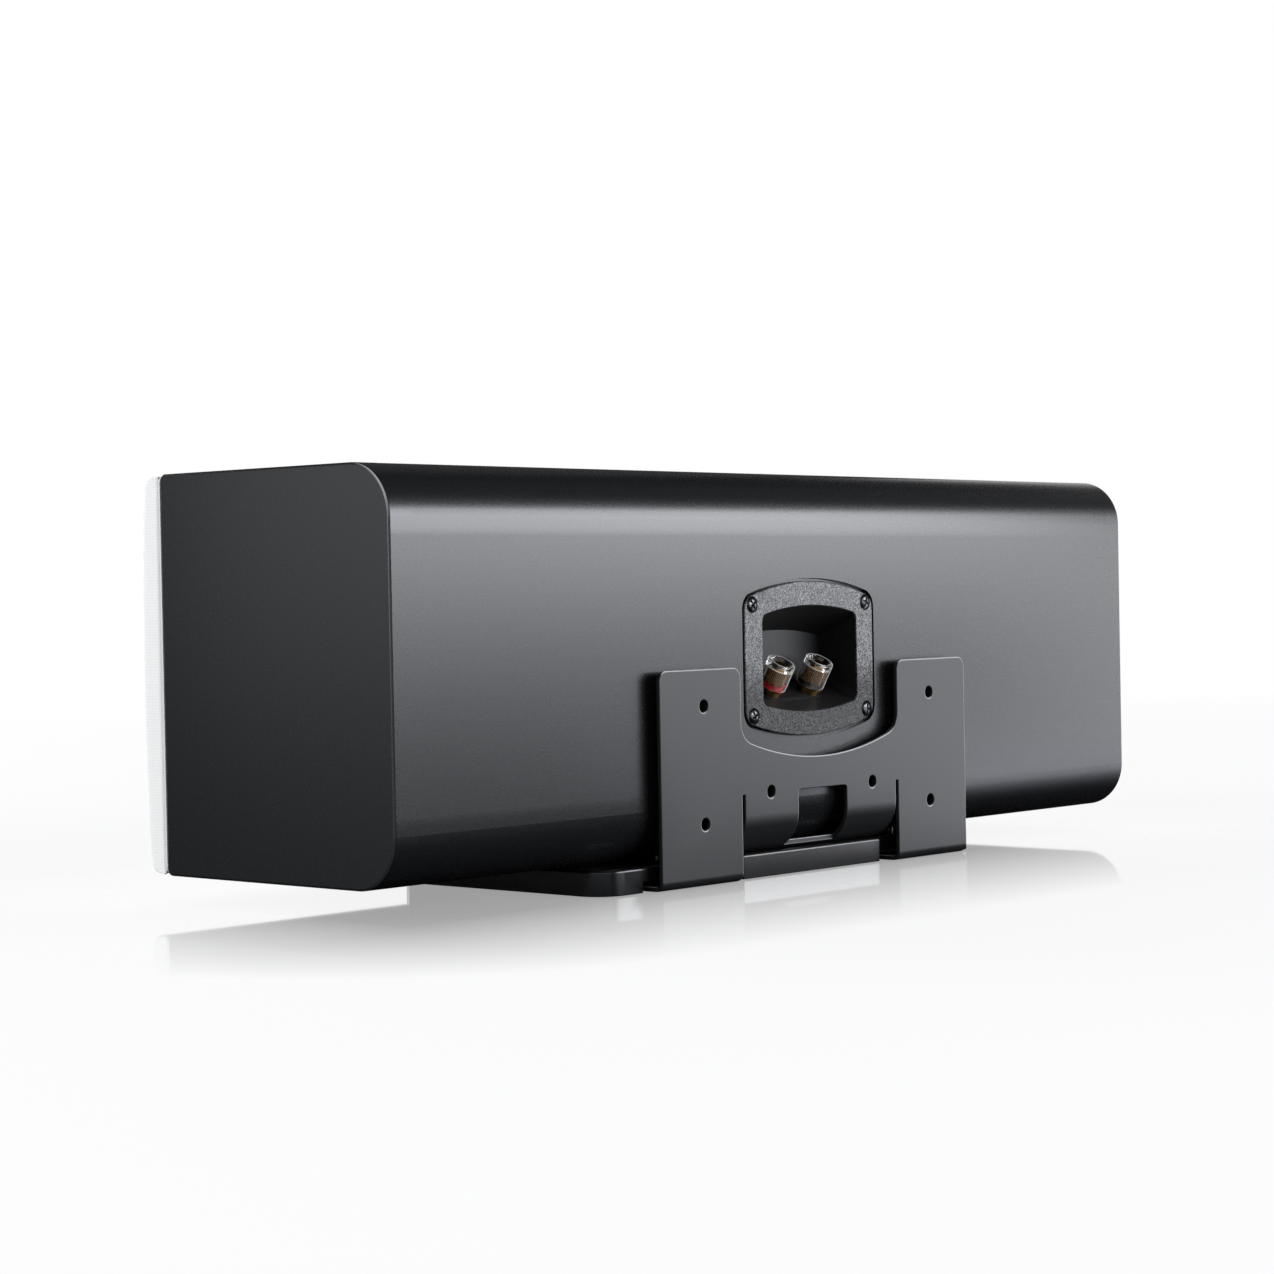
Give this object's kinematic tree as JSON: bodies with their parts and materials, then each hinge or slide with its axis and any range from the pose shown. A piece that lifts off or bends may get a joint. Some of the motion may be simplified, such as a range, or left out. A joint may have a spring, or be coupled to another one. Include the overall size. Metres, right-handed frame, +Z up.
{
  "type": "center channel speaker",
  "caption": "Long low center channel speaker with a wrapped cabinet, convex cloth front, rear terminal cup with binding posts, and a folded steel bracket on a flat base.",
  "frame": {"origin": "centre of the base on the surface that it stands on, under the middle of the whole part", "axes": "+X along the cabinet, +Y towards the rear and the bracket, +Z up; the cloth front faces -Y"},
  "size_m": [0.507, 0.1584, 0.177],
  "materials": {
    "cabinet_skin": "satin black",
    "baffle_board": "sealed fibreboard",
    "bezel_plastic": "light grey, moulded",
    "frame_plastic": "moulded",
    "grille_cloth": "white woven cloth",
    "soft_rubber": "soft black",
    "basket_paint": "black paint",
    "cone_pulp": "pressed pulp",
    "spider_cloth": "resin-dipped cloth",
    "coil_copper": "enamelled copper",
    "plated_steel": "zinc plated",
    "ferrite": "sintered",
    "black_screws": "black zinc",
    "faceplate_plastic": "satin black",
    "dome_silk": "coated silk",
    "circuit_board": "laminate",
    "capacitor_film": "film wrap",
    "wadding": "polyester wadding",
    "red_plastic": "red",
    "black_plastic": "black",
    "cup_plastic": "grained black",
    "gilt_brass": "gold plated",
    "clear_plastic": "clear",
    "bracket_steel": "dark grey powder coat",
    "base_plastic": "black, smooth"
  },
  "bodies": {
    "speaker": {"cabinet_wrap": "cabinet_skin", "left_end_panel": "cabinet_skin", "right_end_panel": "cabinet_skin", "front_baffle": "baffle_board", "front_bezel": "bezel_plastic", "grille_frame": "frame_plastic", "grille_cloth": "grille_cloth", "grille_sockets": "soft_rubber", "left_woofer_basket": "basket_paint", "left_woofer_surround": "soft_rubber", "left_woofer_cone": "cone_pulp", "left_woofer_dust_cap": "cone_pulp", "left_woofer_spider": "spider_cloth", "left_woofer_voice_coil": "coil_copper", "left_woofer_top_plate": "plated_steel", "left_woofer_magnet": "ferrite", "left_woofer_yoke": "plated_steel", "right_woofer_basket": "basket_paint", "right_woofer_surround": "soft_rubber", "right_woofer_cone": "cone_pulp", "right_woofer_dust_cap": "cone_pulp", "right_woofer_spider": "spider_cloth", "right_woofer_voice_coil": "coil_copper", "right_woofer_top_plate": "plated_steel", "right_woofer_magnet": "ferrite", "right_woofer_yoke": "plated_steel", "woofer_screws": "black_screws", "tweeter_faceplate": "faceplate_plastic", "tweeter_dome": "dome_silk", "tweeter_top_plate": "plated_steel", "tweeter_magnet": "ferrite", "tweeter_yoke": "plated_steel", "tweeter_screws": "black_screws", "crossover_board": "circuit_board", "crossover_screws": "plated_steel", "bass_coil": "coil_copper", "bass_capacitor": "capacitor_film", "treble_capacitor": "capacitor_film", "damping_wadding": "wadding", "red_leads": "red_plastic", "black_leads": "black_plastic", "terminal_cup": "cup_plastic", "terminal_gasket": "soft_rubber", "terminal_screws": "black_screws", "red_post_stud": "gilt_brass", "black_post_stud": "gilt_brass", "post_tags": "plated_steel", "post_nuts": "gilt_brass", "mounting_bracket": "bracket_steel", "base_plate": "base_plastic", "base_screws": "black_screws"},
    "red_washer": {"red_post_washer": "gilt_brass"},
    "red_knob": {"red_post_cap": "clear_plastic", "red_post_core": "gilt_brass", "red_post_ring": "red_plastic"},
    "black_washer": {"black_post_washer": "gilt_brass"},
    "black_knob": {"black_post_cap": "clear_plastic", "black_post_core": "gilt_brass", "black_post_ring": "black_plastic"}
  },
  "joints": [
    {"name": "red_knob_lift", "type": "slide", "parent": "speaker", "child": "red_washer", "axis": [0, 0.5, 0.866], "range_m": [0, 0.003]},
    {"name": "red_knob_turn", "type": "hinge", "parent": "red_washer", "child": "red_knob", "pos_m": [0.0135, 0.0646, 0.08749], "axis": [0, 0.5, 0.866], "range_deg": [0, 1080]},
    {"name": "black_knob_lift", "type": "slide", "parent": "speaker", "child": "black_washer", "axis": [0, 0.5, 0.866], "range_m": [0, 0.003]},
    {"name": "black_knob_turn", "type": "hinge", "parent": "black_washer", "child": "black_knob", "pos_m": [-0.0135, 0.0646, 0.08749], "axis": [0, 0.5, 0.866], "range_deg": [0, 1080]}
  ],
  "couplings": [
    {"joint": "red_knob_lift", "follows": "red_knob_turn", "m_per_rad": 0.00015915},
    {"joint": "black_knob_lift", "follows": "black_knob_turn", "m_per_rad": 0.00015915}
  ]
}
